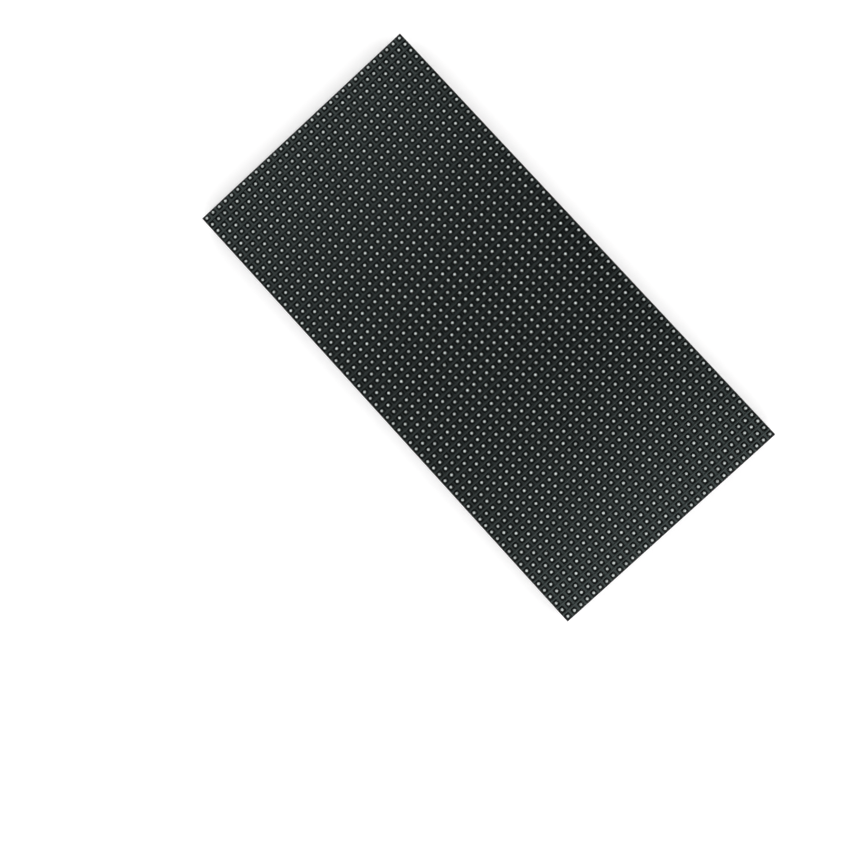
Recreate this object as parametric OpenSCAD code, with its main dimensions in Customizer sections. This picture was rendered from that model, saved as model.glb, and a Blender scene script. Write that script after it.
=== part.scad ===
// LED display module: a lamp board with a ribbed front mask and a moulded rear housing.
// It lies on its back, display face up. X runs along the long side, Y along the short side,
// and Z = 0 is the plane of the rear rim. The origin is at the centre of that plane.

/* [Display face] */
// Lamps along the long side
columns = 64; // [56:2:80]
// Lamps along the short side
rows = 32; // [28:2:40]
// Distance between neighbouring lamps
pitch = 3; // [2.9:0.05:3.6]
// Diameter of a lamp's milky cup
cup_d = 1; // [0.8:0.05:1.8]
// Height of a lamp above the board
lamp_h = 1; // [0.6:0.05:1.1]
// Gap left outside the outline, so that neighbouring modules don't bind
seam_gap = 0.1; // [0.05:0.05:0.3]

/* [Front mask] */
// Width of a rib
rib_w = 0.75; // [0.5:0.05:0.9]
// Height of the ribs that run along the long side
low_rib_h = 0.7; // [0.4:0.05:0.9]
// Height of the ribs that run along the short side
high_rib_h = 1.2; // [1.1:0.05:1.6]
// Bevel along the top of the high ribs
rib_bevel = 0.15; // [0.05:0.01:0.15]
// Distance from the module's outline to the open ends of the ribs
rib_end_gap = 0.4; // [0.2:0.05:0.6]
// Length of the foot under each end of a high rib
rib_foot_l = 1; // [0.6:0.1:1.4]
// Diameter of the locating pins behind the mask
mask_pin_d = 1; // [0.8:0.05:1.1]
// Length of a locating pin past the board
mask_pin_tail = 0.5; // [0.2:0.1:0.8]
// Distance of the locating pins from the walls of a bay, before they move to the nearest rib crossing
mask_pin_inset = 4; // [3:0.5:6]

/* [Circuit board] */
// Thickness of the board
board_t = 1.6; // [1:0.1:2]
// Clearance round a locating pin
pin_hole_gap = 0.05; // [0.02:0.01:0.2]

/* [Rear housing] */
// Height of the housing
housing_h = 12.2; // [11.5:0.1:18]
// Thickness of the outer wall
wall_t = 1.8; // [1.4:0.1:2.4]
// Thickness of the rear plate
plate_t = 2; // [1.6:0.1:3]
// Height of the full-width band beside the board
band_h = 2; // [1:0.1:4]
// How far the wall steps in behind that band
band_step = 0.25; // [0.1:0.05:0.5]
// Width of the rim round the bays
rim_w = 9; // [8.5:0.1:11]
// Width of the bars between the bays
bar_w = 10; // [9:0.1:13]
// Thickness of the wall round each bay
bay_wall_t = 1.5; // [1.2:0.1:2]
// Corner radius of a bay
bay_r = 3; // [1:0.5:5]

/* [Fixings] */
// Outer diameter of a threaded insert
insert_d = 4.6; // [4:0.1:5]
// Bore of a threaded insert
insert_bore_d = 2.5; // [2:0.1:3.3]
// Length of a threaded insert
insert_l = 6; // [4:0.5:8]
// Length of each knurled band of an insert
knurl_l = 2.4; // [1:0.1:2.4]
// Depth of the groove between the bands
insert_groove = 0.35; // [0.1:0.05:0.5]
// Diameter of the boss round an insert
boss_d = 7.6; // [7:0.1:8]
// Plastic left above an insert
boss_roof = 1.5; // [1:0.1:2]
// Distance of the inserts and the rim's screws from the module's outline
fixing_inset = 5; // [4.8:0.1:6]
// Shank diameter of a housing screw
screw_d = 2.5; // [2:0.1:2.8]
// Head diameter of a housing screw
screw_head_d = 4.5; // [4:0.1:5]
// Head height of a housing screw
screw_head_h = 1.8; // [1.4:0.1:2.2]
// Bevel round the top of a screw's head
screw_head_bevel = 0.6; // [0.2:0.1:1]
// Width of the slots in the cross recess
recess_w = 0.8; // [0.5:0.1:1]
// Length of the slots in the cross recess
recess_l = 2.7; // [1.5:0.1:3]
// Depth of the cross recess
recess_depth = 0.9; // [0.4:0.1:1.2]
// Diameter of a board nut
nut_d = 5; // [4.2:0.1:6]
// Height of a board nut
nut_h = 3; // [2:0.1:4]
// Diameter of a screw tower
tower_d = 7.6; // [7:0.1:8]
// Thickness of the floor that a screw head pulls on
tower_floor = 2; // [1.5:0.1:3]
// Clearance round a screw's head and shank
screw_gap = 0.2; // [0.1:0.05:0.4]
// Distance of the bars' screws from the long centre line
bar_screw_y = 20; // [12:1:28]

/* [Data headers] */
// Contacts in each of the two rows
data_contacts = 8; // [6:1:10]
// Distance between contacts
data_pitch = 2.54; // [2:0.01:2.6]
// Width of a square contact pin
data_pin_w = 0.64; // [0.5:0.02:0.7]
// Height of a shroud
shroud_h = 9; // [8:0.1:9.4]
// Thickness of the shroud's walls
shroud_wall = 1.2; // [0.8:0.1:1.6]
// Thickness of the shroud's floor
shroud_floor = 2.6; // [2:0.1:3.5]
// Free length beyond the last contact inside the shroud
shroud_end_gap = 2.6; // [2:0.1:3.5]
// Free width beside the contacts inside the shroud
shroud_side_gap = 1.6; // [1.2:0.1:2]
// Width of the key slot
key_w = 4.5; // [3:0.1:5]
// Distance of a pin's tip below the rim of the shroud
pin_tip_depth = 1.5; // [0.5:0.1:3]
// Clearance round a pin in its floor
pin_fit_gap = 0.02; // [0.01:0.01:0.05]
// Distance of a data header from its bay's outer wall
shroud_inset = 3; // [2:0.5:4]

/* [Power header] */
// Contacts of the power header
power_contacts = 4; // [2:1:5]
// Distance between its contacts
power_pitch = 3.96; // [3.5:0.01:4.2]
// Width of a square power pin
power_pin_w = 1.14; // [0.8:0.02:1.3]
// Length beyond the last contact
power_end = 3.9; // [3:0.1:5]
// Depth of the wafer's floor
power_w = 8.5; // [7:0.1:10]
// Thickness of the wafer's floor
power_floor = 3.3; // [2.5:0.1:4]
// Height of the wafer's back wall
power_h = 9.5; // [8:0.1:10]
// Thickness of the wafer's back wall
power_wall = 1.4; // [1:0.1:2]
// Size of the locking lip on the back wall
power_lip = 0.7; // [0.3:0.1:1]
// Width of the slots between contacts in the back wall
power_slot_w = 1.4; // [0.8:0.1:2]
// Height of a power pin
power_pin_h = 9; // [7:0.1:10]

/* [Chips and passives] */
// Length, width and height of a column driver
driver_size = [8.65, 3.9, 1.5]; // [1:0.05:10]
// Distance between columns of drivers
driver_gap_x = 12; // [9:0.5:12.5]
// Distance of the rows of drivers from the long centre line
driver_y = 24; // [22:0.5:27]
// Length, width and height of a row switch
switch_size = [4.9, 3.9, 1.5]; // [1:0.05:6]
// Distance between the rows of switches
switch_gap_y = 7; // [6:0.1:7.5]
// Distance between the columns of switches
switch_gap_x = 9; // [7:0.1:11]
// Length, width and height of a decoder
decoder_size = [9.9, 3.9, 1.5]; // [1:0.05:11]
// Length, width and height of a buffer
buffer_size = [12.8, 7.5, 2.3]; // [1:0.05:14]
// Bevel along one edge of a chip
chip_bevel = 0.4; // [0.1:0.05:0.6]
// Diameter of a bulk capacitor
can_d = 8; // [6:0.1:9]
// Height of a bulk capacitor above its base
can_h = 6.2; // [4:0.1:7]
// Depth of the crimp round a capacitor's foot and of the bevel round its top
can_crimp = 0.4; // [0.2:0.05:0.6]
// Height of the crimp above the base
crimp_z = 1.1; // [0.8:0.1:2]
// Width of a capacitor's base
can_base_w = 8.3; // [7:0.1:9.2]
// Cut corners of a capacitor's base
can_base_cut = 1.6; // [0.5:0.1:2.5]
// Thickness of a capacitor's base
can_base_h = 1; // [0.6:0.1:1.5]
// Distance of the bulk capacitors from the power header's centre
can_x = 18; // [16:0.5:19]
// Length, width and height of a bypass capacitor
bypass_size = [1.6, 0.8, 0.8]; // [0.4:0.05:2]
// Length, width and height of a current-setting resistor
resistor_size = [1.6, 0.8, 0.45]; // [0.3:0.05:2]
// Length, width and height of a resistor array
array_size = [3.2, 1.6, 0.6]; // [0.3:0.05:4]
// Distance between a chip and the passives beside it
passive_gap = 1.6; // [1:0.1:2.5]

/* [Hidden] */

$fn = 48;
// Overlap of a cutting tool past the face it opens
past = 1;

mask_black = [0.11, 0.12, 0.12];
housing_black = [0.09, 0.09, 0.1];
board_grey = [0.2, 0.22, 0.21];
chip_black = [0.12, 0.12, 0.13];
lamp_white = [0.92, 0.93, 0.92];
brass = [0.78, 0.63, 0.3];
steel = [0.72, 0.73, 0.75];
gold = [0.83, 0.69, 0.36];

// Outlines and levels
face_l = columns * pitch;
face_w = rows * pitch;
outline_l = face_l - 2 * seam_gap;
outline_w = face_w - 2 * seam_gap;
body_l = outline_l - 2 * band_step;
body_w = outline_w - 2 * band_step;
board_z = housing_h;
face_z = board_z + board_t;

// Bays of the housing: data input in the first, power in the middle, data output in the last
bays = 3;
bay_l = (outline_l - 2 * rim_w - (bays - 1) * bar_w) / bays;
bay_w = outline_w - 2 * rim_w;
bay_step = bay_l + bar_w;
bay_xs = [for (k = [0 : bays - 1]) (k - (bays - 1) / 2) * bay_step];

// Places of the fixings
insert_x = face_l / 2 - fixing_inset;
fixing_y = face_w / 2 - fixing_inset;
insert_places = [for (x = [-insert_x, 0, insert_x], y = [-fixing_y, fixing_y]) [x, y]];
screw_places = concat(
  [for (x = [-bay_step, bay_step], y = [-fixing_y, fixing_y]) [x, y]],
  [for (x = [-bay_step / 2, bay_step / 2], y = [-bar_screw_y, bar_screw_y]) [x, y]]);
tower_h = board_z - nut_h;
head_seat_z = tower_h - tower_floor;

// The mask's pins stand under rib crossings, four to a bay
function to_crossing(v) = round(v / pitch) * pitch;
mask_pin_places = [for (x = bay_xs, i = [-1, 1], j = [-1, 1])
  [to_crossing(x + i * (bay_l / 2 - mask_pin_inset)), to_crossing(j * (bay_w / 2 - mask_pin_inset))]];

// Sizes and places of the headers
shroud_l = (data_contacts - 1) * data_pitch + data_pin_w + 2 * (shroud_end_gap + shroud_wall);
shroud_w = data_pitch + data_pin_w + 2 * (shroud_side_gap + shroud_wall);
data_x = bay_step + bay_l / 2 - shroud_inset - shroud_w / 2;
power_l = (power_contacts - 1) * power_pitch + 2 * power_end;

// Places of the chips: four columns of drivers in each bay, the rest in the strip between their rows
driver_columns = 4;
driver_places = [for (x = bay_xs, i = [0 : driver_columns - 1], side = [-1, 1])
  [x + (i - (driver_columns - 1) / 2) * driver_gap_x, side * driver_y]];
switch_rows = 4;
switch_x = bay_step - bay_l / 2 + switch_gap_x;
switch_places = [for (side = [-1, 1], i = [0 : switch_rows - 1])
  [switch_x + side * switch_gap_x / 2, (i - (switch_rows - 1) / 2) * switch_gap_y]];
decoder_x = (switch_x + switch_gap_x / 2 + data_x - shroud_w / 2) / 2;
decoder_places = [for (side = [-1, 1]) [decoder_x, side * (decoder_size.x / 2 + passive_gap)]];
buffer_strip = bay_l - shroud_inset - shroud_w;
buffer_xs = [for (i = [1, 2]) -bay_step + bay_l / 2 - i * buffer_strip / 3];
array_places = [for (x = buffer_xs, side = [-1, 1])
  [x, side * (buffer_size.x / 2 + passive_gap + array_size.y / 2)]];
driver_end = driver_size.x / 2 + passive_gap;

// A rectangle with round corners
module round_rect(l, w, r) {
  square([l - 2 * r, w], center = true);
  square([l, w - 2 * r], center = true);
  for (x = [r - l / 2, l / 2 - r], y = [r - w / 2, w / 2 - r]) translate([x, y]) circle(r);
}

// Copies its children to each place of a list
module at(places) {
  for (p = places) translate([p.x, p.y, 0]) children();
}

// Turns its children over, to stand on the rear side of the board
module on_board_rear() {
  translate([0, 0, board_z]) mirror([0, 0, 1]) children();
}

// A block that stands on z = 0, centred on the Z axis
module block(size) {
  translate([-size.x / 2, -size.y / 2, 0]) cube(size);
}

// A rib that lies along Y, with a bevel along both edges of its top
module high_rib(l, h) {
  half = rib_w / 2;
  rotate([90, 0, 0]) translate([0, 0, -l / 2]) linear_extrude(l) polygon([
    [-half, 0],
    [half, 0],
    [half, h - rib_bevel],
    [half - rib_bevel, h],
    [rib_bevel - half, h],
    [-half, h - rib_bevel]]);
}

module front_mask() {
  rib_l = face_l - 2 * rib_end_gap;
  rib_s = face_w - 2 * rib_end_gap;
  color(mask_black) translate([0, 0, face_z]) union() {
    for (j = [1 : rows - 1]) translate([0, j * pitch - face_w / 2, 0])
      block([rib_l, rib_w, low_rib_h]);
    for (i = [1 : columns - 1]) translate([i * pitch - face_l / 2, 0, low_rib_h])
      high_rib(rib_s, high_rib_h - low_rib_h);
    for (i = [1 : columns - 1], side = [-1, 1])
      translate([i * pitch - face_l / 2, side * (rib_s - rib_foot_l) / 2, 0])
        block([rib_w, rib_foot_l, low_rib_h]);
    at(mask_pin_places) translate([0, 0, -board_t - mask_pin_tail])
      cylinder(h = board_t + mask_pin_tail + low_rib_h / 2, d = mask_pin_d);
  }
}

module led_lamps() {
  color(lamp_white) for (i = [0 : columns - 1], j = [0 : rows - 1])
    translate([(i + 0.5) * pitch - face_l / 2, (j + 0.5) * pitch - face_w / 2, face_z])
      cylinder(h = lamp_h, d = cup_d);
}

module circuit_board() {
  color(board_grey) translate([0, 0, board_z]) difference() {
    block([outline_l, outline_w, board_t]);
    at(mask_pin_places) translate([0, 0, -past])
      cylinder(h = board_t + 2 * past, d = mask_pin_d + 2 * pin_hole_gap);
  }
}

// Section of the hollow that runs round the rim and along the bars
module channel_outline() {
  difference() {
    square([body_l - 2 * wall_t, body_w - 2 * wall_t], center = true);
    for (x = bay_xs) translate([x, 0])
      round_rect(bay_l + 2 * bay_wall_t, bay_w + 2 * bay_wall_t, bay_r + bay_wall_t);
  }
}

module rear_housing() {
  color(housing_black) difference() {
    union() {
      difference() {
        union() {
          block([body_l, body_w, housing_h]);
          translate([0, 0, housing_h - band_h]) block([outline_l, outline_w, band_h]);
        }
        translate([0, 0, plate_t]) linear_extrude(housing_h) channel_outline();
      }
      at(insert_places) cylinder(h = insert_l + boss_roof, d = boss_d);
      at(screw_places) cylinder(h = tower_h, d = tower_d);
    }
    for (x = bay_xs) translate([x, 0, -past])
      linear_extrude(housing_h + 2 * past) round_rect(bay_l, bay_w, bay_r);
    at(insert_places) translate([0, 0, -past]) cylinder(h = insert_l + past, d = insert_d);
    at(screw_places) {
      translate([0, 0, -past]) cylinder(h = head_seat_z + past, d = screw_head_d + 2 * screw_gap);
      cylinder(h = tower_h + past, d = screw_d + 2 * screw_gap);
    }
  }
}

// A moulded-in insert with a groove between its two knurled bands
module insert() {
  rotate_extrude() polygon([
    [insert_bore_d / 2, 0],
    [insert_d / 2, 0],
    [insert_d / 2, knurl_l],
    [insert_d / 2 - insert_groove, knurl_l],
    [insert_d / 2 - insert_groove, insert_l - knurl_l],
    [insert_d / 2, insert_l - knurl_l],
    [insert_d / 2, insert_l],
    [insert_bore_d / 2, insert_l]]);
}

module mounting_inserts() {
  color(brass) at(insert_places) insert();
}

// A pan-head screw, head down, with its seat at z = 0
module screw() {
  difference() {
    rotate_extrude() polygon([
      [0, -screw_head_h],
      [screw_head_d / 2 - screw_head_bevel, -screw_head_h],
      [screw_head_d / 2, -screw_head_h + screw_head_bevel],
      [screw_head_d / 2, 0],
      [screw_d / 2, 0],
      [screw_d / 2, tower_floor + nut_h - screw_gap],
      [0, tower_floor + nut_h - screw_gap]]);
    for (turn = [0, 90]) rotate(turn) translate([0, 0, -screw_head_h - past])
      block([recess_l, recess_w, recess_depth + past]);
  }
}

module housing_screws() {
  color(steel) at(screw_places) translate([0, 0, head_seat_z]) screw();
}

module board_nuts() {
  color(brass) on_board_rear() at(screw_places) difference() {
    cylinder(h = nut_h, d = nut_d);
    translate([0, 0, -past]) cylinder(h = nut_h + 2 * past, d = screw_d + screw_gap);
  }
}

// Places of a data header's contacts, round its own centre
contact_places = [for (i = [0 : data_contacts - 1], side = [-1, 1])
  [side * data_pitch / 2, (i - (data_contacts - 1) / 2) * data_pitch]];

// A shroud with its mouth up and its key slot on the -X side
module data_shroud() {
  difference() {
    block([shroud_w, shroud_l, shroud_h]);
    translate([0, 0, shroud_floor])
      block([shroud_w - 2 * shroud_wall, shroud_l - 2 * shroud_wall, shroud_h]);
    translate([-shroud_w / 2, 0, shroud_floor]) block([2 * shroud_wall + past, key_w, shroud_h]);
    at(contact_places) translate([0, 0, -past])
      block([data_pin_w + 2 * pin_fit_gap, data_pin_w + 2 * pin_fit_gap, shroud_floor + 2 * past]);
  }
}

module data_pins() {
  at(contact_places) block([data_pin_w, data_pin_w, shroud_h - pin_tip_depth]);
}

module data_in_shroud() {
  color(chip_black) on_board_rear() translate([-data_x, 0, 0]) mirror([1, 0, 0]) data_shroud();
}

module data_in_pins() {
  color(gold) on_board_rear() translate([-data_x, 0, 0]) data_pins();
}

module data_out_shroud() {
  color(chip_black) on_board_rear() translate([data_x, 0, 0]) data_shroud();
}

module data_out_pins() {
  color(gold) on_board_rear() translate([data_x, 0, 0]) data_pins();
}

power_contact_places = [for (i = [0 : power_contacts - 1]) [(i - (power_contacts - 1) / 2) * power_pitch, 0]];

// A floor with a back wall that has a locking lip and a slot between each two contacts
module power_wafer() {
  color([0.9, 0.89, 0.85]) on_board_rear() difference() {
    rotate([90, 0, 90]) translate([0, 0, -power_l / 2]) linear_extrude(power_l) polygon([
      [-power_w / 2, 0],
      [power_w / 2, 0],
      [power_w / 2, power_h],
      [power_w / 2 - power_wall, power_h],
      [power_w / 2 - power_wall - power_lip, power_h - power_lip],
      [power_w / 2 - power_wall, power_h - 2 * power_lip],
      [power_w / 2 - power_wall, power_floor],
      [-power_w / 2, power_floor]]);
    for (i = [1 : power_contacts - 1])
      translate([(i - power_contacts / 2) * power_pitch, power_w / 2, power_floor + power_wall])
        block([power_slot_w, 2 * (power_wall + power_lip) + past, power_h]);
    at(power_contact_places) translate([0, 0, -past])
      block([power_pin_w + 2 * pin_fit_gap, power_pin_w + 2 * pin_fit_gap, power_floor + 2 * past]);
  }
}

module power_pins() {
  color(steel) on_board_rear() at(power_contact_places) block([power_pin_w, power_pin_w, power_pin_h]);
}

// A chip body that lies along Y, with a bevel along its first edge
module chip(size) {
  rotate([90, 0, 0]) translate([0, 0, -size.x / 2]) linear_extrude(size.x) polygon([
    [-size.y / 2, 0],
    [size.y / 2, 0],
    [size.y / 2, size.z],
    [chip_bevel - size.y / 2, size.z],
    [-size.y / 2, size.z - chip_bevel]]);
}

module driver_chips() {
  color(chip_black) on_board_rear() at(driver_places) chip(driver_size);
}

module row_switch_chips() {
  color(chip_black) on_board_rear() at(switch_places) chip(switch_size);
}

module decoder_chips() {
  color(chip_black) on_board_rear() at(decoder_places) chip(decoder_size);
}

module buffer_chips() {
  color(chip_black) on_board_rear() for (x = buffer_xs) translate([x, 0, 0]) chip(buffer_size);
}

can_places = [[-can_x, 0], [can_x, 0]];

// A can with a crimped waist and a rounded top edge
module can() {
  rotate_extrude() polygon([
    [0, 0],
    [can_d / 2, 0],
    [can_d / 2, crimp_z - can_crimp],
    [can_d / 2 - can_crimp, crimp_z],
    [can_d / 2, crimp_z + can_crimp],
    [can_d / 2, can_h - can_crimp],
    [can_d / 2 - can_crimp, can_h],
    [0, can_h]]);
}

module capacitor_cans() {
  color([0.8, 0.81, 0.82]) on_board_rear() at(can_places) translate([0, 0, can_base_h]) can();
}

// A square base with two cut corners
module capacitor_bases() {
  half = can_base_w / 2;
  color(chip_black) on_board_rear() at(can_places) linear_extrude(can_base_h) polygon([
    [-half, -half],
    [half - can_base_cut, -half],
    [half, can_base_cut - half],
    [half, half - can_base_cut],
    [half - can_base_cut, half],
    [-half, half]]);
}

module bypass_capacitors() {
  inner_y = driver_y - driver_end - bypass_size.y / 2;
  color([0.62, 0.5, 0.38]) on_board_rear() at([for (p = driver_places) [p.x, sign(p.y) * inner_y]])
    block(bypass_size);
}

module setting_resistors() {
  outer_y = driver_y + driver_end + resistor_size.y / 2;
  color(chip_black) on_board_rear() at([for (p = driver_places) [p.x, sign(p.y) * outer_y]])
    block(resistor_size);
}

module resistor_arrays() {
  color(chip_black) on_board_rear() at(array_places) block(array_size);
}

front_mask();
led_lamps();
circuit_board();
rear_housing();
mounting_inserts();
housing_screws();
board_nuts();
data_in_shroud();
data_in_pins();
data_out_shroud();
data_out_pins();
power_wafer();
power_pins();
driver_chips();
row_switch_chips();
decoder_chips();
buffer_chips();
capacitor_cans();
capacitor_bases();
bypass_capacitors();
setting_resistors();
resistor_arrays();
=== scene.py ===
import math

import bmesh
import bpy
import numpy as np
from mathutils import Matrix, Vector


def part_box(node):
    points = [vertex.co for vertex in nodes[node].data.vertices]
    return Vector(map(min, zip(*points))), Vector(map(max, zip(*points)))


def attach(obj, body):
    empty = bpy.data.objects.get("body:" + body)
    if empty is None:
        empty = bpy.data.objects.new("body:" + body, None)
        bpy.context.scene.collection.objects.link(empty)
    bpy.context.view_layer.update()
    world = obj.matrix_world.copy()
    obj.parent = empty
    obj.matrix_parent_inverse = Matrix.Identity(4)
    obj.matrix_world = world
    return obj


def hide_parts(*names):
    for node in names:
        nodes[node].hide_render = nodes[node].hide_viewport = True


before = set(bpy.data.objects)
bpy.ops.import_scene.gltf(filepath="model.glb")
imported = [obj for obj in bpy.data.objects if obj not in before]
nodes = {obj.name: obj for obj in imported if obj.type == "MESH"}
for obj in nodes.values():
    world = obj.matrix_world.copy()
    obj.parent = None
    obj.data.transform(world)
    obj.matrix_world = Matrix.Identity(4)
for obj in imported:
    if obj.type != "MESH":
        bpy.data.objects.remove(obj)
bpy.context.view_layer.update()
MM = 0.001

# Camera: where it stands, the point that it looks at, the heading of the picture's right-hand side
# (turned from +X about Z), its sensor and lens, and the nearest distance that it shows
CAMERA_AT = (0.0519, -0.0152, 0.5012)
LOOK_AT = (0.0124, -0.0386, 0.0148)
PICTURE_HEADING = math.radians(47.53)
SENSOR_MM = 36
LENS_MM = 59.3
CLIP_START = 0.01

# Softboxes: place, size and power
SOFTBOXES = {
    "softbox_left": ((-0.93, 0, 1.0), (1.3, 2.0), 12.5),
    "softbox_right": ((0.79, 0, 1.0), (1.3, 2.0), 20),
    "softbox_near": ((-0.07, -0.62, 1.0), (0.4, 0.9), 1.2),
}
LIGHT_COLOUR = (0.93, 1.0, 0.99)
WORLD_STRENGTH = 0.04

# Backdrop: a round floor that curves up into a wall. The gap under the rear rim keeps their faces apart.
FLOOR_GAP = 0.05 * MM
FLOOR_INNER_R = 0.5
FLOOR_R = 2.6
COVE_R = 0.6
COVE_POINTS = 9
WALL_TOP = 2.4
BACKDROP_SIDES = 64
FLOOR_COLOUR = (0.88, 0.82, 0.828)

# The floor's glow is low near the object and high from some distance on
GLOW_LOW = 0.33
GLOW_HIGH = 1.0
GLOW_START = 0.2
GLOW_END = 1.2

# The lamp grid
COLUMNS = 64
ROWS = 32
PITCH = 3 * MM

# Levels, taken from the frame
BOARD_REAR_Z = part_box("circuit_board")[0].z
FACE_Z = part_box("circuit_board")[1].z
LAMP_TOP_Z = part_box("led_lamps")[1].z
MASK_TOP_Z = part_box("front_mask")[1].z
MASK_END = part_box("front_mask")[1]
PIN_END_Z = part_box("front_mask")[0].z

# Vertices closer than this are one
WELD = 1e-6

# Front mask
RIB_W = 0.75 * MM
LOW_RIB_H = 0.7 * MM
WINDOW_R = 0.5 * MM
CORNER_POINTS = 3
RIDGE_CROWN_H = 0.14 * MM
RIDGE_SHOULDER_W = 0.17 * MM
SHOULDER_POINTS = 5
RIDGE_SINK = 0.1 * MM
PIN_R = 0.5 * MM
PIN_CHAMFER = 0.15 * MM
PIN_SIDES = 16
MASK_SMOOTH = math.radians(35)
SIDE_TILT = 0.25

# A lamp: square package, black top face, round cup filled with milky resin, four leads
PACKAGE_W = 1.5 * MM
PACKAGE_CHAMFER = 0.05 * MM
CUP_D = 0.95 * MM
CUP_FLOOR_D = 0.8 * MM
CUP_DEPTH = 0.35 * MM
CUP_SIDES = 16
RESIN_GAP = 0.02 * MM
RESIN_SINK = 0.05 * MM
RESIN_DEPTH = 0.1 * MM
RESIN_RISE = 0.04 * MM
CROWN_R = 0.28 * CUP_D
CROWN_RISE = 0.7 * RESIN_RISE
RESIN_SMOOTH = math.radians(50)
LEAD_W = 0.55 * MM
LEAD_GAP = 0.85 * MM
LEAD_H = 0.45 * MM
LEAD_OUT = 0.01 * MM
SOLDER_H = 0.25 * MM
SOLDER_OUT = 0.02 * MM

# Softened edges of the housing: those in a band along its outside, and those of the bays' mouths
HOUSING_BEVEL = 0.25 * MM
HOUSING_BEVEL_STEPS = 3
HOUSING_FLAT = math.radians(1)
HOUSING_SHARP = math.radians(40)
OUTSIDE_BAND = 0.5 * MM
BAY_MARGIN = 8 * MM
RIM_SLACK = 0.01 * MM

# Chips: leads on each side, their distance apart, their width, and the number of rows of vias beside them
CHIP_KINDS = {
    "driver_chips": (12, 0.635 * MM, 0.25 * MM, 3),
    "row_switch_chips": (4, 1.27 * MM, 0.42 * MM, 1),
    "decoder_chips": (8, 1.27 * MM, 0.42 * MM, 1),
    "buffer_chips": (10, 1.27 * MM, 0.42 * MM, 1),
}

# A chip's gull-wing lead and its pad: distances out from the chip's side, the height of the foot's
# middle off the board, thicknesses, and the pad's width as a share of the lead's
WING_ROOT = 0.1 * MM
WING_BEND = 0.3 * MM
WING_KNEE = 0.55 * MM
WING_TOE = 1.05 * MM
WING_FOOT_H = 0.12 * MM
WING_T = 0.15 * MM
PAD_START = 0.4 * MM
PAD_END = 1.35 * MM
PAD_T = 0.05 * MM
PAD_SHARE = 1.2

# Copper on the rear of the board
TRACE_W = 0.2 * MM
TRACE_T = 0.012 * MM
TRACE_START = 1.3 * MM
VIA_OUT = 0.5 * MM
VIA_ROW_GAP = 0.55 * MM
VIA_R = 0.3 * MM
VIA_HOLE_R = 0.14 * MM
VIA_SIDES = 10
BUS_Y = 14 * MM
BUS_GAP = 0.5 * MM
BUS_LINES = 6
BUS_END = 88 * MM

# Polarity marks on the capacitor cans
MARK_R = 3.5 * MM
MARK_TURN = math.radians(62)
MARK_POINTS = 15
MARK_T = 0.01 * MM

# Metal ends of the small parts
CAP_SKIN = 0.02 * MM
CAP_LENGTH = 0.3 * MM
FILLET_LENGTH = 0.3 * MM
FILLET_H = 0.12 * MM
ARRAY_ENDS = 4
ARRAY_END_W = 0.4 * MM
ARRAY_END_IN = 0.25 * MM
ARRAY_END_OUT = 0.2 * MM

# Print on the rear of the board: outlines at a distance in X and Y from what they surround, and dots
PRINT_W = 0.15 * MM
PRINT_T = 0.02 * MM
CHIP_PRINT_GAP = (1.7 * MM, 0.5 * MM)
OTHER_PRINT_GAP = (0.5 * MM, 0.5 * MM)
OTHER_PRINTED = ("data_in_shroud", "data_out_shroud", "power_wafer", "capacitor_bases")
DOT_R = 0.28 * MM
DOT_GAP = 0.6 * MM
DOT_SIDES = 12

# Materials: where colour ramps start and end, how much wider than the grain the gloss varies, the depth of
# the grain of metal, and how far a normal's Z goes for a face of the board to count as front or rear
RAMP_ENDS = (0.35, 0.65)
MOULDED_GLOSS = 4
METAL_GLOSS = 6
METAL_DEPTH = 0.004 * MM
FACE_LIMIT = 0.7
MASK_LOW = (0.003, 0.0038, 0.0036)
MASK_HIGH = (0.0041, 0.0052, 0.0049)
# The lamps' black ink. The lamp side of the board also takes this black, as painted shade.
BLACK_LOW = (0.0014, 0.0018, 0.0017)
BLACK_HIGH = (0.002, 0.0026, 0.0025)
COOL_TINT = (0.86, 1.0, 1.0)


# Mesh helpers: a "part" is a pair of vertices and faces


def placed(name, mesh):
    """Makes an object of a mesh that rides on the part's one body."""
    piece = bpy.data.objects.new(name, mesh)
    bpy.context.scene.collection.objects.link(piece)
    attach(piece, "root")
    return piece


def new_piece(name, part, materials, material_of_face=None, smooth_angle=None):
    """Makes a piece of vertices and faces."""
    verts, faces = part
    mesh = bpy.data.meshes.new(name)
    mesh.from_pydata([tuple(v) for v in verts], [], faces)
    mesh.update()
    for material in materials:
        mesh.materials.append(material)
    if material_of_face is not None:
        mesh.polygons.foreach_set("material_index", np.asarray(material_of_face, dtype=np.int32))
    if smooth_angle is not None:
        smooth(mesh)
        mesh.set_sharp_from_angle(angle=smooth_angle)
    return placed(name, mesh)


def smooth(mesh):
    """Shades all of a mesh's faces smooth."""
    mesh.polygons.foreach_set("use_smooth", np.ones(len(mesh.polygons), dtype=bool))


def welded(mesh):
    """A bmesh of a mesh, with the vertices that share a place made one."""
    bm = bmesh.new()
    bm.from_mesh(mesh)
    bmesh.ops.remove_doubles(bm, verts=bm.verts, dist=WELD)
    return bm


def copies(part, places):
    """Repeats a part at each place and returns the joined part."""
    verts, faces = part
    verts = np.asarray(verts, dtype=float)
    places = np.asarray(places, dtype=float)
    all_verts = (verts[None] + places[:, None]).reshape(-1, 3)
    count = len(verts)
    all_faces = [tuple(v + k * count for v in face) for k in range(len(places)) for face in faces]
    return all_verts, all_faces


def joined(parts):
    """Puts several parts into one."""
    verts, faces = [], []
    for part_verts, part_faces in parts:
        base = len(verts)
        verts += [tuple(v) for v in part_verts]
        faces += [tuple(base + k for k in face) for face in part_faces]
    return verts, faces


def turned(part):
    """The same part turned half round about Z."""
    verts, faces = part
    return [(-x, -y, z) for x, y, z in verts], faces


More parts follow.
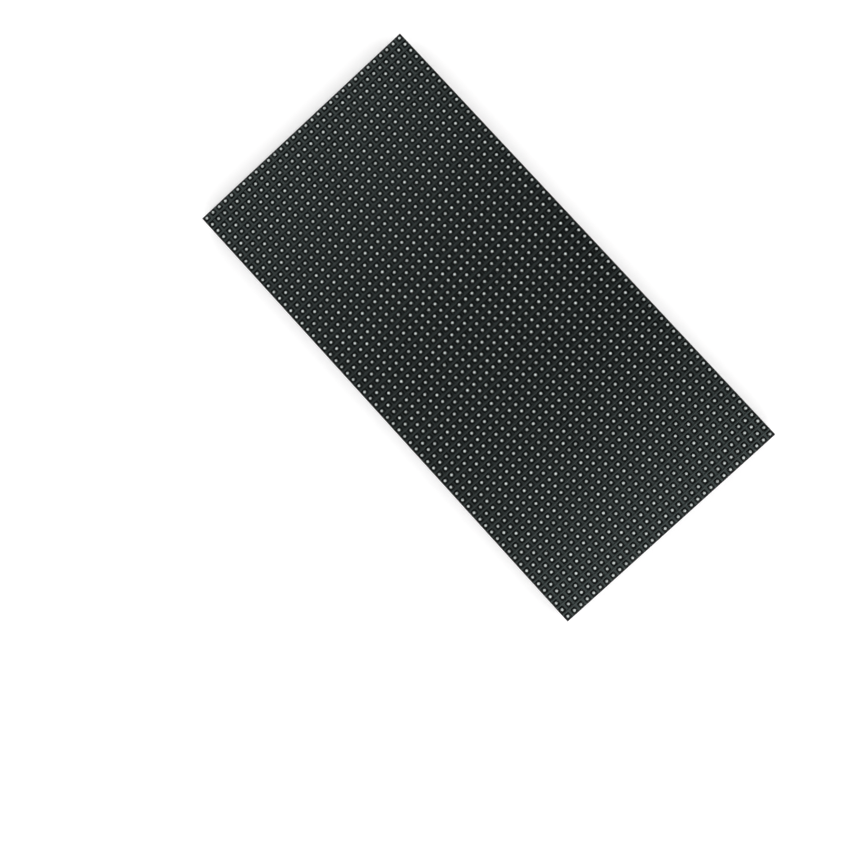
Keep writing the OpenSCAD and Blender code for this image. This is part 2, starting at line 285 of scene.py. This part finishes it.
def ring(radius, z, sides):
    """Points of a regular ring about the Z axis, turned by half a side."""
    angles = (np.arange(sides) + 0.5) * 2 * math.pi / sides
    return [(radius * math.cos(a), radius * math.sin(a), z) for a in angles]


def square_ring(width, z):
    """The four corners of a square about the Z axis."""
    half = width / 2
    return [(half, half, z), (-half, half, z), (-half, -half, z), (half, -half, z)]


def bridge(a, b, count):
    """Quads between two rings of the same count that start at vertex a and vertex b."""
    return [(a + k, a + (k + 1) % count, b + (k + 1) % count, b + k) for k in range(count)]


def prism(outline, low, high, axis="z"):
    """A closed part: an outline carried along an axis. It runs counter-clockwise in XY, XZ or YZ."""
    count = len(outline)
    faces = [tuple(reversed(range(count))), tuple(range(count, 2 * count)), *bridge(0, count, count)]
    if axis == "x":
        return [(level, a, b) for level in (low, high) for a, b in outline], faces
    if axis == "y":
        return [(a, level, b) for level in (low, high) for a, b in outline], [face[::-1] for face in faces]
    return [(a, b, level) for level in (low, high) for a, b in outline], faces


def slab(lo, hi):
    """A closed block between two corners."""
    outline = [(lo[0], lo[1]), (hi[0], lo[1]), (hi[0], hi[1]), (lo[0], hi[1])]
    return prism(outline, lo[2], hi[2])


def islands(node):
    """Lowest and highest corners of each separate solid in a CAD node."""
    bm = welded(nodes[node].data)
    bm.verts.ensure_lookup_table()
    seen = set()
    boxes = []
    for start in bm.verts:
        if start.index in seen:
            continue
        seen.add(start.index)
        stack, found = [start], []
        while stack:
            v = stack.pop()
            found.append(v.co[:])
            for edge in v.link_edges:
                other = edge.other_vert(v)
                if other.index not in seen:
                    seen.add(other.index)
                    stack.append(other)
        found = np.array(found)
        boxes.append((found.min(0), found.max(0)))
    bm.free()
    return boxes


# Materials


def principled(name):
    """A new node material: returns it with its node tree and its shader."""
    material = bpy.data.materials.new(name)
    material.use_nodes = True
    tree = material.node_tree
    return material, tree, tree.nodes["Principled BSDF"]


def noise(tree, scale, detail=3.0, stretch=(1, 1, 1)):
    """Noise in the object's own coordinates, with a size in features a metre."""
    coords = tree.nodes.new("ShaderNodeTexCoord")
    mapping = tree.nodes.new("ShaderNodeMapping")
    mapping.inputs["Scale"].default_value = stretch
    texture = tree.nodes.new("ShaderNodeTexNoise")
    texture.inputs["Scale"].default_value = scale
    texture.inputs["Detail"].default_value = detail
    tree.links.new(coords.outputs["Object"], mapping.inputs["Vector"])
    tree.links.new(mapping.outputs["Vector"], texture.inputs["Vector"])
    return texture.outputs["Fac"]


def ramp(tree, fac, low, high):
    """A colour ramp between two linear colours."""
    node = tree.nodes.new("ShaderNodeValToRGB")
    for element, position, colour in zip(node.color_ramp.elements, RAMP_ENDS, (low, high)):
        element.position = position
        element.color = (*colour, 1)
    tree.links.new(fac, node.inputs["Fac"])
    return node.outputs["Color"]


def spread(tree, fac, low, high, start=0.3, end=0.7):
    """A value that runs from low to high while another runs from start to end."""
    node = tree.nodes.new("ShaderNodeMapRange")
    node.inputs["From Min"].default_value = start
    node.inputs["From Max"].default_value = end
    node.inputs["To Min"].default_value = low
    node.inputs["To Max"].default_value = high
    tree.links.new(fac, node.inputs["Value"])
    return node.outputs["Result"]


def reckoned(tree, operation, first, second):
    """A sum or product of two sockets, held between 0 and 1."""
    node = tree.nodes.new("ShaderNodeMath")
    node.operation = operation
    node.use_clamp = True
    tree.links.new(first, node.inputs[0])
    tree.links.new(second, node.inputs[1])
    return node.outputs[0]


def mixed(tree, fac, first, second):
    """A colour mix of two colour sockets."""
    node = tree.nodes.new("ShaderNodeMix")
    node.data_type = "RGBA"
    tree.links.new(fac, node.inputs["Factor"])
    tree.links.new(first, node.inputs["A"])
    tree.links.new(second, node.inputs["B"])
    return node.outputs["Result"]


def facing(tree, operation, limit):
    """1 on faces whose normal's Z is beyond a limit, 0 on the others."""
    coords = tree.nodes.new("ShaderNodeTexCoord")
    split = tree.nodes.new("ShaderNodeSeparateXYZ")
    beyond = tree.nodes.new("ShaderNodeMath")
    beyond.operation = operation
    beyond.inputs[1].default_value = limit
    tree.links.new(coords.outputs["Normal"], split.inputs["Vector"])
    tree.links.new(split.outputs["Z"], beyond.inputs[0])
    return beyond.outputs[0]


def bump(tree, shader, fac, distance):
    """Joins a noise to the shader's normal as a bump of a real depth."""
    node = tree.nodes.new("ShaderNodeBump")
    node.inputs["Strength"].default_value = 1.0
    node.inputs["Distance"].default_value = distance
    tree.links.new(fac, node.inputs["Height"])
    tree.links.new(node.outputs["Normal"], shader.inputs["Normal"])


def moulded(name, low, high, rough, grain=4000, depth=0.01 * MM, specular=0.5, tint=(1, 1, 1), patch=60):
    """Moulded plastic: slow colour change, a fine grain and an uneven gloss."""
    material, tree, shader = principled(name)
    tree.links.new(ramp(tree, noise(tree, patch), low, high), shader.inputs["Base Color"])
    tree.links.new(spread(tree, noise(tree, grain / MOULDED_GLOSS), *rough), shader.inputs["Roughness"])
    shader.inputs["Specular IOR Level"].default_value = specular
    shader.inputs["Specular Tint"].default_value = (*tint, 1)
    bump(tree, shader, noise(tree, grain), depth)
    return material


def metal(name, low, high, rough, grain=3000, stretch=(1, 1, 1)):
    """Plated or bare metal with a fine finish."""
    material, tree, shader = principled(name)
    fac = noise(tree, grain, stretch=stretch)
    tree.links.new(ramp(tree, fac, low, high), shader.inputs["Base Color"])
    tree.links.new(spread(tree, noise(tree, grain / METAL_GLOSS), *rough), shader.inputs["Roughness"])
    shader.inputs["Metallic"].default_value = 1.0
    bump(tree, shader, fac, METAL_DEPTH)
    return material


def laminate():
    """Black solder mask on the rear; the same mask on the lamp side, painted darker as painted shade from the
    mask and lamps over it; pale woven laminate on the cut edge.
    """
    material, tree, shader = principled("board_laminate")
    weave = noise(tree, scale=900, stretch=(1, 1, 6))
    edge = ramp(tree, weave, (0.2, 0.202, 0.195), (0.28, 0.282, 0.272))
    rear = ramp(tree, noise(tree, scale=500), (0.006, 0.0073, 0.0069), (0.0095, 0.0115, 0.0108))
    # Painted shade: the lamp side gets a darker black than the rear's identical solder mask, for the shade
    # the mask and lamps cast on it
    front = ramp(tree, noise(tree, scale=500), BLACK_LOW, BLACK_HIGH)
    colour = mixed(tree, facing(tree, "LESS_THAN", -FACE_LIMIT), edge, rear)
    colour = mixed(tree, facing(tree, "GREATER_THAN", FACE_LIMIT), colour, front)
    tree.links.new(colour, shader.inputs["Base Color"])
    tree.links.new(spread(tree, noise(tree, scale=250), 0.35, 0.5), shader.inputs["Roughness"])
    shader.inputs["Specular IOR Level"].default_value = 0.15
    bump(tree, shader, noise(tree, scale=1200), distance=0.02 * MM)
    return material


def housing_plastic():
    """Smooth black plastic with a few pale specks of dust."""
    material, tree, shader = principled("housing_plastic")
    plain = ramp(tree, noise(tree, scale=60), (0.0068, 0.0046, 0.0086), (0.0098, 0.007, 0.0122))
    dust = ramp(tree, noise(tree, scale=900), (0.05, 0.046, 0.052), (0.06, 0.056, 0.062))
    specks = spread(tree, noise(tree, scale=1100, detail=1), 0, 1, start=0.76, end=0.8)
    tree.links.new(mixed(tree, specks, plain, dust), shader.inputs["Base Color"])
    tree.links.new(spread(tree, noise(tree, scale=1000), 0.35, 0.5), shader.inputs["Roughness"])
    shader.inputs["Specular IOR Level"].default_value = 0.15
    shader.inputs["Specular Tint"].default_value = (1.0, 0.88, 1.0, 1)
    bump(tree, shader, noise(tree, scale=4000), distance=0.006 * MM)
    return material


MASK = moulded("mask_plastic", MASK_LOW, MASK_HIGH, (0.22, 0.27), depth=0.002 * MM, specular=0.45,
               tint=COOL_TINT)
MASK_SIDE = moulded("mask_side", MASK_LOW, MASK_HIGH, (0.5, 0.65), specular=0.12)
INK = moulded("lamp_ink", BLACK_LOW, BLACK_HIGH, (0.24, 0.32), depth=0.002 * MM, specular=0.15,
              tint=COOL_TINT)
LAMP_WHITE = moulded("lamp_body", (0.62, 0.63, 0.62), (0.7, 0.71, 0.7), (0.4, 0.55))
RESIN = moulded("lamp_resin", (0.275, 0.281, 0.277), (0.525, 0.534, 0.527), (0.25, 0.35), grain=1500,
                specular=0.95, patch=500)
TIN = metal("tinned_lead", (0.55, 0.56, 0.57), (0.72, 0.73, 0.74), (0.25, 0.4))
SOLDER = metal("solder", (0.12, 0.124, 0.12), (0.36, 0.365, 0.36), (0.3, 0.5), grain=900)
HOUSING = housing_plastic()
HEADER = moulded("header_plastic", (0.012, 0.012, 0.0125), (0.018, 0.018, 0.019), (0.4, 0.55))
EPOXY = moulded("chip_epoxy", (0.013, 0.013, 0.0135), (0.02, 0.02, 0.021), (0.5, 0.65), grain=9000)
NYLON = moulded("wafer_nylon", (0.66, 0.63, 0.55), (0.74, 0.71, 0.63), (0.35, 0.5))
CERAMIC = moulded("capacitor_ceramic", (0.30, 0.19, 0.10), (0.38, 0.25, 0.14), (0.4, 0.55))
TRACE = moulded("covered_copper", (0.011, 0.0132, 0.0124), (0.0165, 0.0192, 0.0182), (0.3, 0.42),
                specular=0.3)
PRINT = moulded("silk_print", (0.7, 0.7, 0.68), (0.8, 0.8, 0.78), (0.5, 0.7))
BRASS = metal("brass", (0.62, 0.43, 0.16), (0.74, 0.54, 0.24), (0.25, 0.4), stretch=(1, 1, 12))
STEEL = metal("plated_steel", (0.5, 0.51, 0.53), (0.64, 0.65, 0.67), (0.22, 0.36))
GOLD = metal("gold_plate", (0.72, 0.5, 0.17), (0.82, 0.6, 0.25), (0.2, 0.32))
ALUMINIUM = metal("can_aluminium", (0.6, 0.61, 0.62), (0.72, 0.73, 0.74), (0.3, 0.42), stretch=(1, 1, 8))
LAMINATE = laminate()

NODE_MATERIALS = {
    "circuit_board": LAMINATE, "rear_housing": HOUSING, "mounting_inserts": BRASS, "housing_screws": STEEL,
    "board_nuts": BRASS, "data_in_shroud": HEADER, "data_in_pins": GOLD, "data_out_shroud": HEADER,
    "data_out_pins": GOLD, "power_wafer": NYLON, "power_pins": STEEL, "driver_chips": EPOXY,
    "row_switch_chips": EPOXY, "decoder_chips": EPOXY, "buffer_chips": EPOXY, "capacitor_cans": ALUMINIUM,
    "capacitor_bases": HEADER, "bypass_capacitors": CERAMIC, "setting_resistors": EPOXY,
    "resistor_arrays": EPOXY, "front_mask": MASK, "led_lamps": RESIN,
}
for node_name, node_material in NODE_MATERIALS.items():
    for slot in nodes[node_name].material_slots:
        slot.material = node_material


# The front mask


def mask_lattice():
    """Low ribs both ways with a round-cornered window over each lamp, one tile to a rib crossing."""
    half = RIB_W / 2
    centre = half + WINDOW_R
    turns = np.linspace(0, math.pi / 2, CORNER_POINTS)
    arc = [(centre - WINDOW_R * math.sin(t), centre - WINDOW_R * math.cos(t)) for t in turns]
    tiles = []
    for i in range(1, COLUMNS):
        for j in range(1, ROWS):
            x = (i - COLUMNS / 2) * PITCH
            y = (j - ROWS / 2) * PITCH
            right = MASK_END.x - x if i == COLUMNS - 1 else PITCH / 2
            left = MASK_END.x + x if i == 1 else PITCH / 2
            top = MASK_END.y - y if j == ROWS - 1 else PITCH / 2
            bottom = MASK_END.y + y if j == 1 else PITCH / 2
            outline = []
            for side_x, side_y, arm_x, arm_y in (
                (1, 1, right, top), (-1, 1, left, top), (-1, -1, left, bottom), (1, -1, right, bottom),
            ):
                points = [(arm_x, half), *arc, (half, arm_y)]
                if side_x * side_y < 0:
                    points.reverse()
                outline += [(x + side_x * px, y + side_y * py) for px, py in points]
            verts, faces = prism(outline, FACE_Z, FACE_Z + LOW_RIB_H)
            # The ends of a tile's four arms are left open where the next tile follows
            quarter = len(outline) // 4
            at_edge = (j == ROWS - 1, i == 1, j == 1, i == COLUMNS - 1)
            closed = {(k + 1) * quarter - 1: at_edge[k] for k in range(4)}
            faces = faces[:2] + [face for k, face in enumerate(faces[2:]) if closed.get(k, True)]
            tiles.append((verts, faces))
    return joined(tiles)


def mask_ridges():
    """The high ribs along the short side, with round shoulders."""
    low = FACE_Z + LOW_RIB_H - RIDGE_SINK
    flat = RIB_W / 2 - RIDGE_SHOULDER_W
    shoulder = [(flat + RIDGE_SHOULDER_W * math.cos(t), MASK_TOP_Z - RIDGE_CROWN_H * (1 - math.sin(t)))
                for t in np.linspace(0, math.pi / 2, SHOULDER_POINTS)]
    other_shoulder = [(-x, z) for x, z in reversed(shoulder)]
    outline = [(-RIB_W / 2, low), (RIB_W / 2, low), *shoulder, *other_shoulder]
    places = [((i - COLUMNS / 2) * PITCH, 0, 0) for i in range(1, COLUMNS)]
    return copies(prism(outline, -MASK_END.y, MASK_END.y, "y"), places)


def mask_pins():
    """The locating pins that pass through the board under some of the rib crossings."""
    places = sorted({(round(v.co.x / PITCH) * PITCH, round(v.co.y / PITCH) * PITCH, 0)
                     for v in nodes["front_mask"].data.vertices if v.co.z < BOARD_REAR_Z})
    n = PIN_SIDES
    verts = ring(PIN_R - PIN_CHAMFER, PIN_END_Z, n)
    verts += ring(PIN_R, PIN_END_Z + PIN_CHAMFER, n)
    verts += ring(PIN_R, FACE_Z + LOW_RIB_H / 2, n)
    faces = bridge(0, n, n) + bridge(n, 2 * n, n)
    faces += [tuple(reversed(range(n))), tuple(range(2 * n, 3 * n))]
    return copies((verts, faces), places)


def front_mask():
    """The mask, with a duller finish on its upright faces."""
    mask = new_piece("mask_moulding", joined([mask_lattice(), mask_ridges(), mask_pins()]), [MASK, MASK_SIDE])
    bm = welded(mask.data)
    bmesh.ops.recalc_face_normals(bm, faces=bm.faces)
    for face in bm.faces:
        face.smooth = True
        face.material_index = int(abs(face.normal.z) < SIDE_TILT)
    bm.to_mesh(mask.data)
    bm.free()
    mask.data.set_sharp_from_angle(angle=MASK_SMOOTH)
    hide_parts("front_mask")


# The lamps


def lamp_places():
    """The middle of each lamp."""
    return [((i + 0.5 - COLUMNS / 2) * PITCH, (j + 0.5 - ROWS / 2) * PITCH, 0)
            for i in range(COLUMNS) for j in range(ROWS)]


def lamp_packages():
    """Square packages with a black top face and a conical white cup sunk into it."""
    top = LAMP_TOP_Z
    verts = square_ring(PACKAGE_W, FACE_Z)
    verts += square_ring(PACKAGE_W, top - PACKAGE_CHAMFER)
    verts += square_ring(PACKAGE_W - 2 * PACKAGE_CHAMFER, top)
    face_corner = len(verts) - 4
    rim = len(verts)
    verts += ring(CUP_D / 2, top, CUP_SIDES)
    floor = len(verts)
    verts += ring(CUP_FLOOR_D / 2, top - CUP_DEPTH, CUP_SIDES)
    faces = [(3, 2, 1, 0)] + bridge(0, 4, 4) + bridge(4, face_corner, 4)
    # Four fans join the square's corners to the cup's rim
    quarter = CUP_SIDES // 4
    for k in range(4):
        corner, next_corner = face_corner + k, face_corner + (k + 1) % 4
        first = rim + k * quarter
        last = first + quarter - 1
        faces += [(corner, v + 1, v) for v in range(first, last)]
        faces.append((corner, next_corner, rim + (k + 1) * quarter % CUP_SIDES, last))
    black_faces = len(faces)
    faces += bridge(rim, floor, CUP_SIDES)
    faces.append(tuple(range(floor, floor + CUP_SIDES)))
    white, black = 0, 1
    slots = [black] * black_faces + [white] * (len(faces) - black_faces)
    places = lamp_places()
    piece = new_piece("lamp_packages", copies((verts, faces), places), [LAMP_WHITE, INK], slots * len(places))
    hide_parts("led_lamps")


def lamp_resin():
    """A low dome of milky resin in each cup."""
    n = CUP_SIDES
    edge = LAMP_TOP_Z - RESIN_SINK
    verts = [(0, 0, edge - RESIN_DEPTH)]
    verts += ring(CUP_D / 2 - RESIN_GAP, edge, n)
    verts += ring(CROWN_R, edge + CROWN_RISE, n)
    verts.append((0, 0, edge + RESIN_RISE))
    outer, inner, crown = 1, 1 + n, 1 + 2 * n
    faces = [(0, outer + (k + 1) % n, outer + k) for k in range(n)]
    faces += bridge(outer, inner, n)
    faces += [(inner + k, inner + (k + 1) % n, crown) for k in range(n)]
    domes = copies((verts, faces), lamp_places())
    piece = new_piece("lamp_resin", domes, [RESIN], smooth_angle=RESIN_SMOOTH)


def lamp_leads():
    """Two tinned leads up each of two sides of a package, with a fillet of solder at the foot."""
    side = PACKAGE_W / 2
    section = [(side - LEAD_OUT, FACE_Z), (side + SOLDER_OUT, FACE_Z), (side + LEAD_OUT, FACE_Z + SOLDER_H),
               (side + LEAD_OUT, FACE_Z + LEAD_H), (side - LEAD_OUT, FACE_Z + LEAD_H)]
    lead = prism(section, -LEAD_W / 2, LEAD_W / 2, "x")
    pair = copies(lead, [(-LEAD_GAP / 2, 0, 0), (LEAD_GAP / 2, 0, 0)])
    piece = new_piece("lamp_leads", copies(joined([pair, turned(pair)]), lamp_places()), [SOLDER])


# The housing


def rear_housing():
    """The housing with its outer edges and the mouths of its bays softened."""
    lo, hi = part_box("rear_housing")
    bm = welded(nodes["rear_housing"].data)
    bmesh.ops.dissolve_limit(bm, angle_limit=HOUSING_FLAT, verts=bm.verts, edges=bm.edges)

    def outside(point):
        return abs(point.x) > hi.x - OUTSIDE_BAND or abs(point.y) > hi.y - OUTSIDE_BAND

    def at_mouth(point):
        return point.z < lo.z + RIM_SLACK and abs(point.y) < hi.y - BAY_MARGIN

    def soft(edge):
        if len(edge.link_faces) != 2 or edge.calc_face_angle_signed(0) < HOUSING_SHARP:
            return False
        ends = [v.co for v in edge.verts]
        return all(map(outside, ends)) or all(map(at_mouth, ends))

    edges = [edge for edge in bm.edges if soft(edge)]
    bmesh.ops.bevel(bm, geom=edges, offset=HOUSING_BEVEL, offset_type="OFFSET", segments=HOUSING_BEVEL_STEPS,
                    profile=0.5, affect="EDGES", clamp_overlap=True)
    mesh = bpy.data.meshes.new("housing_moulding")
    bm.to_mesh(mesh)
    bm.free()
    mesh.materials.append(HOUSING)
    piece = placed("housing_moulding", mesh)
    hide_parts("rear_housing")


# The rear of the board


def chip_lead(width, body_half, height):
    """One gull-wing lead on the +X side of a chip, with the tinned pad under its foot."""
    z = BOARD_REAR_Z
    path = np.array([
        (body_half - WING_ROOT, height / 2),
        (body_half + WING_BEND, height / 2),
        (body_half + WING_KNEE, WING_FOOT_H),
        (body_half + WING_TOE, WING_FOOT_H),
    ])
    steps = np.diff(path, axis=0)
    steps /= np.linalg.norm(steps, axis=1)[:, None]
    normals = np.stack([-steps[:, 1], steps[:, 0]], axis=1)
    across = np.concatenate([normals[:1], normals[:-1] + normals[1:], normals[-1:]])
    across *= WING_T / 2 / np.linalg.norm(across, axis=1)[:, None]
    section = [(x, z - off) for x, off in (*(path + across), *(path - across)[::-1])]
    wing = prism(section, -width / 2, width / 2, "y")
    pad_half = PAD_SHARE * width / 2
    pad = slab((body_half + PAD_START, -pad_half, z - PAD_T), (body_half + PAD_END, pad_half, z))
    return joined([wing, pad])


def lead_rows(lo, hi, count, gap):
    """Places of the leads along a chip, on its centre line."""
    centre = (lo + hi) / 2
    return [(centre[0], centre[1] + (k - (count - 1) / 2) * gap, 0) for k in range(count)]


def chip_leads():
    """The leads and pads of all the chips."""
    parts = []
    for node, (count, gap, width, _) in CHIP_KINDS.items():
        for lo, hi in islands(node):
            lead = chip_lead(width, (hi[0] - lo[0]) / 2, hi[2] - lo[2])
            rows = lead_rows(lo, hi, count, gap)
            parts += [copies(lead, rows), copies(turned(lead), rows)]
    piece = new_piece("chip_leads", joined(parts), [TIN])


def on_board(lo, hi, thickness):
    """A thin rectangle on the rear face of the board, between two corners."""
    return slab((*lo, BOARD_REAR_Z - thickness), (*hi, BOARD_REAR_Z))


def eyelet(x, y):
    """A covered via: a low ring with an open hole."""
    top, low = BOARD_REAR_Z, BOARD_REAR_Z - TRACE_T
    n = VIA_SIDES
    verts = [*ring(VIA_R, top, n), *ring(VIA_R, low, n), *ring(VIA_HOLE_R, low, n), *ring(VIA_HOLE_R, top, n)]
    faces = [*bridge(n, 0, n), *bridge(2 * n, n, n), *bridge(3 * n, 2 * n, n), *bridge(0, 3 * n, n)]
    return copies((verts, faces), [(x, y, 0)])


def trace(x0, x1, y):
    """A line of covered copper along X."""
    return on_board((min(x0, x1), y - TRACE_W / 2), (max(x0, x1), y + TRACE_W / 2), TRACE_T)


def traces():
    """Covered copper on the rear of the board: a via beside each lead, and buses between rows of chips."""
    parts = []
    for node, (count, gap, _, via_rows) in CHIP_KINDS.items():
        for lo, hi in islands(node):
            start = (hi[0] - lo[0]) / 2 + TRACE_START
            for k, (x, y, _) in enumerate(lead_rows(lo, hi, count, gap)):
                reach = start + VIA_OUT + k % via_rows * VIA_ROW_GAP
                for side in (-1, 1):
                    parts.append(trace(x + side * start, x + side * (reach - VIA_R), y))
                    parts.append(eyelet(x + side * reach, y))
    for side in (-1, 1):
        parts += [trace(-BUS_END, BUS_END, side * (BUS_Y + k * BUS_GAP)) for k in range(BUS_LINES)]
    piece = new_piece("board_traces", joined(parts), [TRACE])


def can_marks():
    """The dark polarity segment printed on the top of each bulk capacitor."""
    parts = []
    for lo, hi in islands("capacitor_cans"):
        x, y = (lo[:2] + hi[:2]) / 2
        turns = np.linspace(-MARK_TURN, MARK_TURN, MARK_POINTS)
        outline = [(x + MARK_R * math.cos(t), y + MARK_R * math.sin(t)) for t in turns]
        parts.append(prism(outline, lo[2] - MARK_T, lo[2]))
    piece = new_piece("capacitor_marks", joined(parts), [INK])


def end_caps():
    """Tinned ends on the small passives, with a low fillet of solder outside them."""
    parts = []
    for node in ("bypass_capacitors", "setting_resistors"):
        for lo, hi in islands(node):
            for end, side in ((lo[0], -1), (hi[0], 1)):
                inner, outer = sorted((end - side * CAP_LENGTH, end + side * CAP_SKIN))
                y0, y1 = lo[1] - CAP_SKIN, hi[1] + CAP_SKIN
                parts.append(slab((inner, y0, lo[2] - CAP_SKIN), (outer, y1, hi[2])))
                inner, outer = sorted((end, end + side * FILLET_LENGTH))
                parts.append(slab((inner, lo[1], hi[2] - FILLET_H), (outer, hi[1], hi[2])))
    for lo, hi in islands("resistor_arrays"):
        for k in range(ARRAY_ENDS):
            x = lo[0] + (hi[0] - lo[0]) * (k + 0.5) / ARRAY_ENDS
            x0, x1 = x - ARRAY_END_W / 2, x + ARRAY_END_W / 2
            for end, side in ((lo[1], -1), (hi[1], 1)):
                inner, outer = sorted((end - side * ARRAY_END_IN, end + side * ARRAY_END_OUT))
                parts.append(slab((x0, inner, lo[2] - CAP_SKIN), (x1, outer, hi[2])))
    piece = new_piece("passive_ends", joined(parts), [TIN])


def print_lines():
    """Printed outlines round the chips and the headers, and a dot at each chip's first lead."""
    half = PRINT_W / 2
    z = BOARD_REAR_Z
    parts = []
    for node in (*CHIP_KINDS, *OTHER_PRINTED):
        gap_x, gap_y = CHIP_PRINT_GAP if node in CHIP_KINDS else OTHER_PRINT_GAP
        for lo, hi in islands(node):
            x0, x1 = lo[0] - gap_x, hi[0] + gap_x
            y0, y1 = lo[1] - gap_y, hi[1] + gap_y
            parts += [on_board((x0, y - half), (x1, y + half), PRINT_T) for y in (y0, y1)]
            parts += [on_board((x - half, y0 + half), (x + half, y1 - half), PRINT_T) for x in (x0, x1)]
            if node in CHIP_KINDS:
                dot = [(lo[0] + x, y1 + DOT_GAP + y) for x, y, _ in ring(DOT_R, 0, DOT_SIDES)]
                parts.append(prism(dot, z - PRINT_T, z))
    piece = new_piece("board_print", joined(parts), [PRINT])


# Stage, light and camera


def backdrop_mesh():
    """A disc that curves up into a round wall."""
    n = BACKDROP_SIDES
    turns = np.linspace(0, math.pi / 2, COVE_POINTS)
    profile = [(FLOOR_INNER_R, 0), (FLOOR_R, 0)]
    profile += [(FLOOR_R + COVE_R * math.sin(t), COVE_R * (1 - math.cos(t))) for t in turns[1:]]
    profile.append((FLOOR_R + COVE_R, WALL_TOP))
    verts = [(0, 0, 0)]
    for radius, z in profile:
        verts += ring(radius, z, n)
    faces = [(0, 1 + k, 1 + (k + 1) % n) for k in range(n)]
    for k in range(len(profile) - 1):
        faces += bridge(1 + (k + 1) * n, 1 + k * n, n)
    mesh = bpy.data.meshes.new("floor")
    mesh.from_pydata(verts, [], faces)
    smooth(mesh)
    return mesh


def floor_material():
    """A pale surface with a glow for camera, glossy and transmission rays only."""
    material = bpy.data.materials.new("floor")
    material.use_nodes = True
    tree = material.node_tree
    tree.nodes.clear()
    out = tree.nodes.new("ShaderNodeOutputMaterial")
    diffuse = tree.nodes.new("ShaderNodeBsdfDiffuse")
    diffuse.inputs["Color"].default_value = (*FLOOR_COLOUR, 1)
    glow = tree.nodes.new("ShaderNodeEmission")
    path = tree.nodes.new("ShaderNodeLightPath")
    seen = reckoned(tree, "ADD", path.outputs["Is Camera Ray"], path.outputs["Is Glossy Ray"])
    seen = reckoned(tree, "ADD", seen, path.outputs["Is Transmission Ray"])
    coords = tree.nodes.new("ShaderNodeTexCoord")
    away = tree.nodes.new("ShaderNodeVectorMath")
    away.operation = "LENGTH"
    tree.links.new(coords.outputs["Object"], away.inputs[0])
    level = spread(tree, away.outputs["Value"], GLOW_LOW, GLOW_HIGH, start=GLOW_START, end=GLOW_END)
    tree.links.new(reckoned(tree, "MULTIPLY", seen, level), glow.inputs["Strength"])
    add = tree.nodes.new("ShaderNodeAddShader")
    tree.links.new(diffuse.outputs[0], add.inputs[0])
    tree.links.new(glow.outputs[0], add.inputs[1])
    tree.links.new(add.outputs[0], out.inputs["Surface"])
    return material


def stage():
    """A pale floor and backdrop that show white to the camera and keep the object's soft shadow."""
    floor = bpy.data.objects.new("floor", backdrop_mesh())
    floor.location.z = -FLOOR_GAP
    bpy.context.scene.collection.objects.link(floor)
    floor.data.materials.append(floor_material())


def lights():
    """Softboxes that face straight down, in a dim world."""
    for name, (at, size, watts) in SOFTBOXES.items():
        light = bpy.data.lights.new(name, "AREA")
        light.shape = "RECTANGLE"
        light.size, light.size_y = size
        light.energy = watts
        light.color = LIGHT_COLOUR
        softbox = bpy.data.objects.new(name, light)
        softbox.location = at
        bpy.context.scene.collection.objects.link(softbox)
    world = bpy.data.worlds.new("studio")
    world.use_nodes = True
    background = world.node_tree.nodes["Background"]
    background.inputs["Color"].default_value = (*LIGHT_COLOUR, 1)
    background.inputs["Strength"].default_value = WORLD_STRENGTH
    bpy.context.scene.world = world


def camera():
    """A plain camera whose right-hand side has the given heading."""
    at = Vector(CAMERA_AT)
    forward = (Vector(LOOK_AT) - at).normalized()
    heading = Vector((math.cos(PICTURE_HEADING), math.sin(PICTURE_HEADING), 0))
    right = (heading - forward * heading.dot(forward)).normalized()
    up = right.cross(forward)
    data = bpy.data.cameras.new("camera")
    data.sensor_width = SENSOR_MM
    data.lens = LENS_MM
    data.clip_start = CLIP_START
    cam = bpy.data.objects.new("camera", data)
    cam.matrix_world = Matrix.Translation(at) @ Matrix((right, up, -forward)).transposed().to_4x4()
    bpy.context.scene.collection.objects.link(cam)
    bpy.context.scene.camera = cam


front_mask()
rear_housing()
lamp_packages()
lamp_resin()
lamp_leads()
chip_leads()
end_caps()
traces()
print_lines()
can_marks()
stage()
lights()
camera()

bpy.context.scene.view_settings.view_transform = "Standard"
